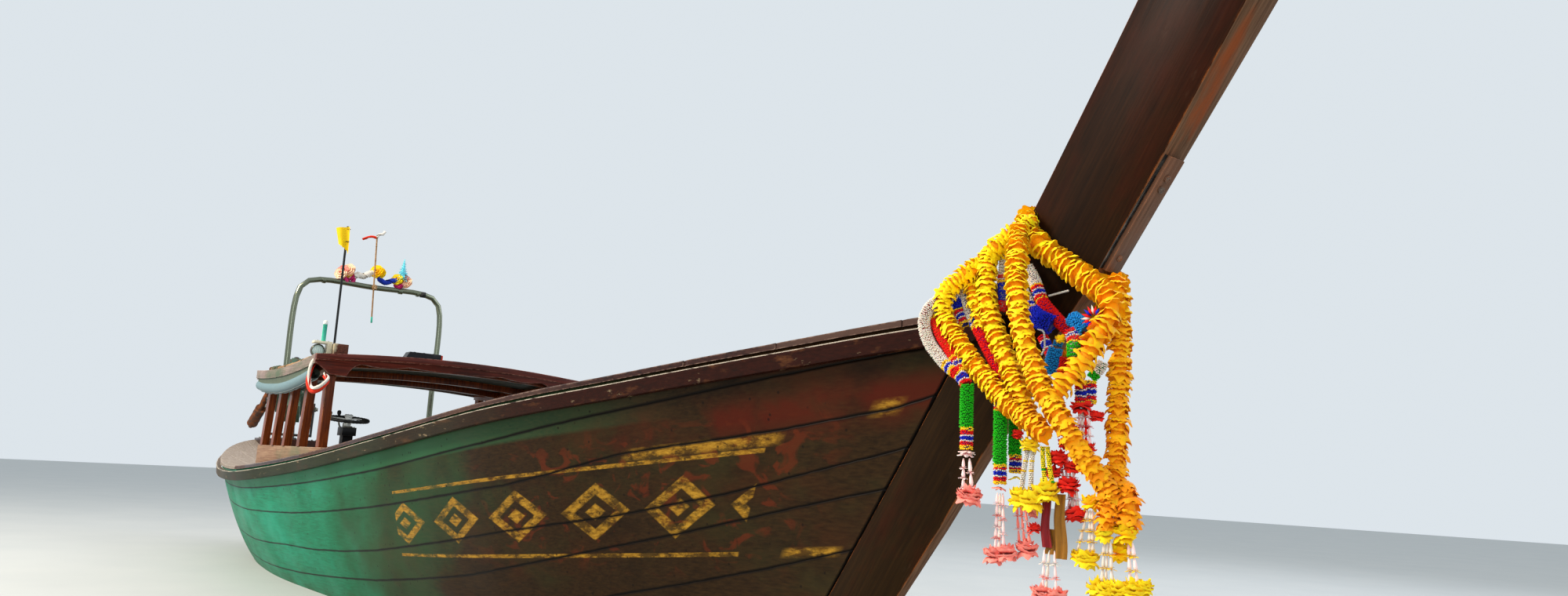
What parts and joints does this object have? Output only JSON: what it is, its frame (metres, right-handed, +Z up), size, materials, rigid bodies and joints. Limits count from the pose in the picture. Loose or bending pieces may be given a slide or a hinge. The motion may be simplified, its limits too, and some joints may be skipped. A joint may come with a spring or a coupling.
{
  "type": "longtail boat",
  "caption": "Afloat wooden longtail boat: tall prow plank with flower garlands, low roofed cabin, and an inboard engine on a swivel that drives a long tail shaft.",
  "frame": {"origin": "on the centreline at the waterline, a little forward of the middle of the hull", "axes": "+X towards the bow, +Y to port, +Z up"},
  "size_m": [14.8105, 2.1626, 3.5008],
  "materials": {
    "wood_hull": "faded teal-green paint over dark brown varnished planks",
    "wood_brown": "dark brown varnish, worn",
    "wood_red": "dark red-brown paint, worn at its edges",
    "wood_deck": "bare grey-cream boards",
    "wood_grey": "weathered bare boards",
    "curtain_fabric": "blue-grey coated cloth",
    "sash_fabric": "coloured sash cloth",
    "flag_fabric": "yellow cloth",
    "garland_fabric": "marigold petals and flower beads",
    "stainless_tube": "dull stainless tube",
    "dark_steel": "dark painted steel with rust",
    "cast_iron": "painted cast iron",
    "alternator_alloy": "dull cast alloy",
    "propeller_brass": "salt-dulled brass",
    "cream_paint": "worn cream paint",
    "lamp_glass": "pale lens",
    "wheel_rubber": "dark worn rim",
    "dark_plastic": "dark box",
    "bamboo": "bare cane"
  },
  "bodies": {
    "hull": {"hull_planking": "wood_hull", "keel_plank": "wood_brown", "stem_plank": "wood_brown", "stem_cover_strip": "wood_brown", "washboard_starboard": "wood_red", "washboard_port": "wood_red", "rub_rail": "wood_red", "stern_deck_boards": "wood_deck", "foredeck_boards": "wood_deck", "ribs_and_keelson": "wood_grey", "floor_boards": "wood_grey", "thwart_1": "wood_red", "thwart_2": "wood_red", "thwart_3": "wood_red", "roof_panel": "wood_grey", "roof_front_fascia": "wood_red", "roof_edge_boards": "wood_red", "canopy_frame": "wood_brown", "coaming_starboard": "wood_red", "coaming_port": "wood_red", "rain_curtain_starboard": "curtain_fabric", "rain_curtain_port": "curtain_fabric", "stern_arch": "stainless_tube", "arch_swag": "sash_fabric", "arch_cane": "bamboo", "flagpole": "dark_steel", "flag": "flag_fabric", "roof_lamp": "lamp_glass", "lamp_bracket": "cream_paint", "roof_block": "wood_brown", "roof_box": "dark_plastic", "roof_edge_pole": "bamboo", "helm_pedestal": "dark_steel", "engine_bed": "wood_red", "garland_flowers": "garland_fabric"},
    "swivel": {"swivel_fork": "dark_steel"},
    "engine_and_tail": {"engine_block": "cast_iron", "cylinder_head": "cast_iron", "exhaust_pipe": "dark_steel", "air_cleaner": "cream_paint", "front_pulleys": "dark_steel", "alternator": "alternator_alloy", "tail_tube": "dark_steel", "tail_skeg": "dark_steel", "tiller_bar": "dark_steel"},
    "propeller": {"propeller": "propeller_brass"},
    "helm": {"helm_wheel": "wheel_rubber"}
  },
  "joints": [
    {"name": "engine_swivel", "type": "hinge", "parent": "hull", "child": "swivel", "pos_m": [-4.9, 0, 1.06669], "axis": [0, 0, 1], "range_deg": [-45, 75]},
    {"name": "engine_tilt", "type": "hinge", "parent": "swivel", "child": "engine_and_tail", "pos_m": [-4.9, 0, 1.39669], "axis": [0.2588, 0.9659, 0], "range_deg": [-5, 30]},
    {"name": "propeller_spin", "type": "hinge", "parent": "engine_and_tail", "child": "propeller", "pos_m": [-8.57303, 0.98419, -0.21742], "axis": [0.8891, -0.2382, 0.3907], "continuous": true},
    {"name": "helm_spin", "type": "hinge", "parent": "hull", "child": "helm", "pos_m": [-0.61, -0.585, 1.192], "axis": [0.1392, 0, 0.9903], "range_deg": [-450, 450]}
  ]
}
